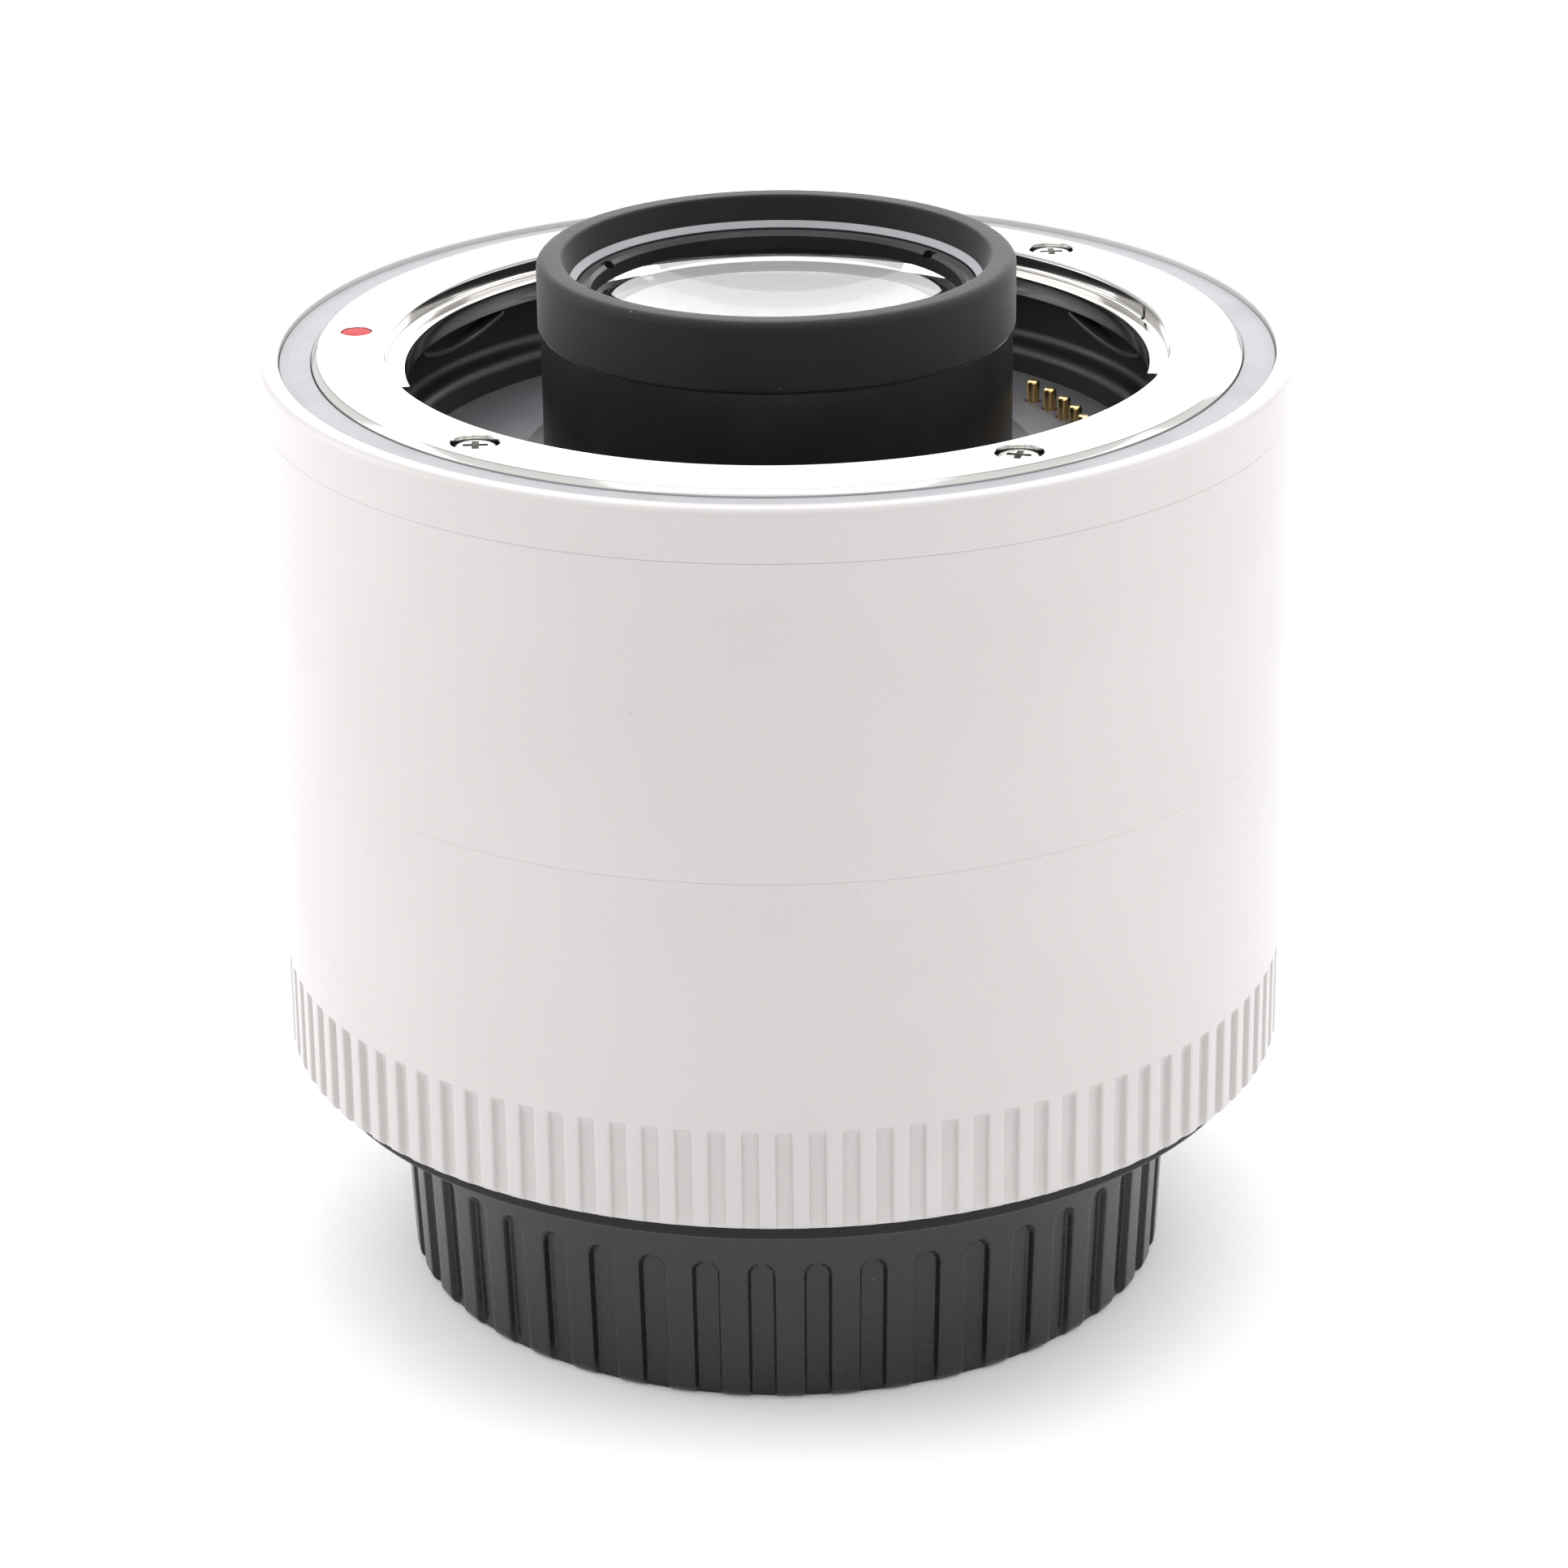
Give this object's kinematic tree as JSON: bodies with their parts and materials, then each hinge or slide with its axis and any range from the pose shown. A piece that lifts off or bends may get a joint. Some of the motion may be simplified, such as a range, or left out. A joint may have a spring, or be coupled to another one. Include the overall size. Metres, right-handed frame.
{
  "type": "camera teleconverter",
  "caption": "Short white camera teleconverter: lens bayonet with black lens nose on top, ribbed grip, sprung contacts, sliding lens release and a fluted rear cap below.",
  "frame": {"origin": "centre of the rear cap's flat underside, on the optical axis", "axes": "+Z along the optical axis towards the lens side; -X towards the index dots, +X towards the contacts, +Y towards the lens release"},
  "size_m": [0.0718, 0.0735, 0.0747],
  "materials": {
    "white_paint": "fine textured warm white paint",
    "grey_satin": "satin grey",
    "bright_plate": "bright plated brass",
    "screw_steel": "bright steel",
    "red_paint": "red index paint",
    "dark_spring": "blackened spring steel",
    "black_plastic": "matte black moulding",
    "floor_grey": "dark grey anodised plate",
    "black_metal": "satin black anodised aluminium",
    "rubber": "matte black rubber",
    "gold": "gold plated",
    "flex_film": "amber polyimide film",
    "board": "green solder resist",
    "glass": "coated optical glass",
    "cap_plastic": "charcoal moulded plastic"
  },
  "bodies": {
    "barrel": {"rear_barrel": "white_paint", "main_barrel": "white_paint", "front_ring": "white_paint", "trim_ring": "grey_satin", "lens_mount_ring": "bright_plate", "camera_mount_ring": "bright_plate", "lens_mount_screws": "screw_steel", "camera_mount_screws": "screw_steel", "frame_screws": "screw_steel", "cell_screws": "screw_steel", "lens_index_dot": "red_paint", "camera_index_dot": "red_paint", "mount_springs": "dark_spring", "lock_spring": "dark_spring", "bayonet_well": "black_plastic", "contact_block": "black_plastic", "rear_contact_block": "black_plastic", "rear_baffle": "black_plastic", "lever_guide": "black_plastic", "floor_plate": "floor_grey", "front_frame": "black_metal", "chassis": "black_metal", "lens_cell": "black_metal", "nose_barrel": "black_metal", "front_retainer": "black_metal", "rear_retainer": "black_metal", "lens_spacers": "black_metal", "nose_bumper": "rubber", "mount_seal": "rubber", "contact_springs": "gold", "rear_contacts": "gold", "contact_flex": "flex_film", "circuit_board": "board", "lens_group_1": "glass", "lens_group_2": "glass", "lens_group_3": "glass", "lens_group_4": "glass", "lens_group_5": "glass"},
    "release": {"release_lever": "black_plastic", "lever_bracket": "screw_steel", "lock_pin": "screw_steel"},
    "cap": {"rear_cap": "cap_plastic"},
    "pin_1": {"contact_pin_1": "gold"},
    "pin_2": {"contact_pin_2": "gold"},
    "pin_3": {"contact_pin_3": "gold"},
    "pin_4": {"contact_pin_4": "gold"},
    "pin_5": {"contact_pin_5": "gold"},
    "pin_6": {"contact_pin_6": "gold"},
    "pin_7": {"contact_pin_7": "gold"},
    "pin_8": {"contact_pin_8": "gold"},
    "pin_9": {"contact_pin_9": "gold"},
    "pin_10": {"contact_pin_10": "gold"},
    "pin_11": {"contact_pin_11": "gold"}
  },
  "joints": [
    {"name": "release_slide", "type": "slide", "parent": "barrel", "child": "release", "axis": [0, 0, -1], "range_m": [0, 0.002], "stiffness_N_per_m": 500, "springref_m": -0.002, "deforming": ["lock_spring"]},
    {"name": "cap_pull", "type": "slide", "parent": "barrel", "child": "cap", "axis": [0, 0, -1], "range_m": [0, 0.02]},
    {"name": "contact_press_1", "type": "slide", "parent": "barrel", "child": "pin_1", "axis": [0, 0, -1], "range_m": [0, 0.0008], "stiffness_N_per_m": 300, "springref_m": -0.0008, "deforming": ["contact_springs"]},
    {"name": "contact_press_2", "type": "slide", "parent": "barrel", "child": "pin_2", "axis": [0, 0, -1], "range_m": [0, 0.0008], "stiffness_N_per_m": 300, "springref_m": -0.0008, "deforming": ["contact_springs"]},
    {"name": "contact_press_3", "type": "slide", "parent": "barrel", "child": "pin_3", "axis": [0, 0, -1], "range_m": [0, 0.0008], "stiffness_N_per_m": 300, "springref_m": -0.0008, "deforming": ["contact_springs"]},
    {"name": "contact_press_4", "type": "slide", "parent": "barrel", "child": "pin_4", "axis": [0, 0, -1], "range_m": [0, 0.0008], "stiffness_N_per_m": 300, "springref_m": -0.0008, "deforming": ["contact_springs"]},
    {"name": "contact_press_5", "type": "slide", "parent": "barrel", "child": "pin_5", "axis": [0, 0, -1], "range_m": [0, 0.0008], "stiffness_N_per_m": 300, "springref_m": -0.0008, "deforming": ["contact_springs"]},
    {"name": "contact_press_6", "type": "slide", "parent": "barrel", "child": "pin_6", "axis": [0, 0, -1], "range_m": [0, 0.0008], "stiffness_N_per_m": 300, "springref_m": -0.0008, "deforming": ["contact_springs"]},
    {"name": "contact_press_7", "type": "slide", "parent": "barrel", "child": "pin_7", "axis": [0, 0, -1], "range_m": [0, 0.0008], "stiffness_N_per_m": 300, "springref_m": -0.0008, "deforming": ["contact_springs"]},
    {"name": "contact_press_8", "type": "slide", "parent": "barrel", "child": "pin_8", "axis": [0, 0, -1], "range_m": [0, 0.0008], "stiffness_N_per_m": 300, "springref_m": -0.0008, "deforming": ["contact_springs"]},
    {"name": "contact_press_9", "type": "slide", "parent": "barrel", "child": "pin_9", "axis": [0, 0, -1], "range_m": [0, 0.0008], "stiffness_N_per_m": 300, "springref_m": -0.0008, "deforming": ["contact_springs"]},
    {"name": "contact_press_10", "type": "slide", "parent": "barrel", "child": "pin_10", "axis": [0, 0, -1], "range_m": [0, 0.0008], "stiffness_N_per_m": 300, "springref_m": -0.0008, "deforming": ["contact_springs"]},
    {"name": "contact_press_11", "type": "slide", "parent": "barrel", "child": "pin_11", "axis": [0, 0, -1], "range_m": [0, 0.0008], "stiffness_N_per_m": 300, "springref_m": -0.0008, "deforming": ["contact_springs"]}
  ]
}
